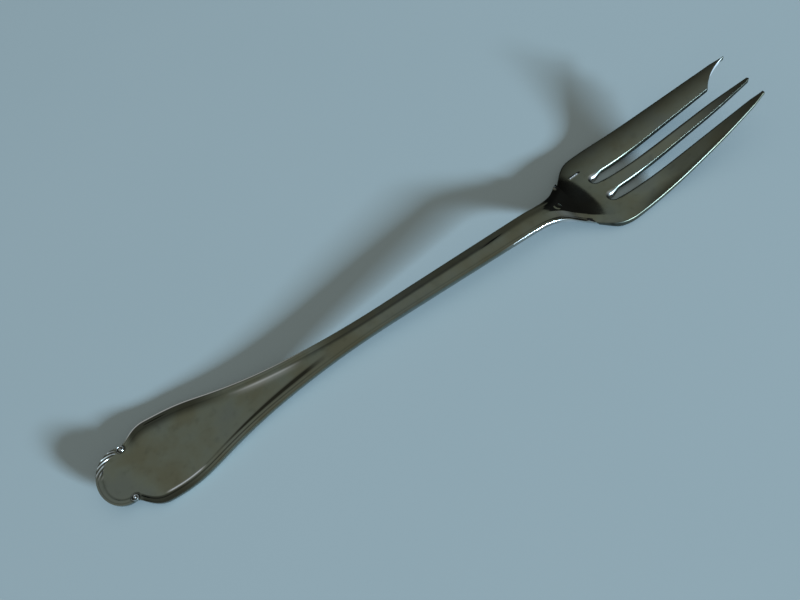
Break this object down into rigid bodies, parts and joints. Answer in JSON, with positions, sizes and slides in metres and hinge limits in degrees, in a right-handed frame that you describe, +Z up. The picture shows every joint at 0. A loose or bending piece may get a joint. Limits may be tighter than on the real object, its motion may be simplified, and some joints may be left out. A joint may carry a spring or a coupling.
{
  "type": "serving fork",
  "caption": "Serving fork with a wide cutting tine beside two slimmer tines, an arched stem, and a flat handle with a raised thread border and a round lobe at its end.",
  "frame": {"origin": "under the middle of the fork's bounding box, on the table plane that its heel and the back of its blade rest on", "axes": "+X from the end of the handle towards the tips of the tines, +Y to the fork's left, the side of the wide cutting tine, +Z up, out of the hollow side"},
  "size_m": [0.23, 0.0318, 0.0132],
  "materials": {
    "handle": "tarnished silver plate, polished",
    "head": "tarnished silver plate, polished"
  },
  "bodies": {
    "root": {"handle": "handle", "head": "head"}
  },
  "joints": []
}
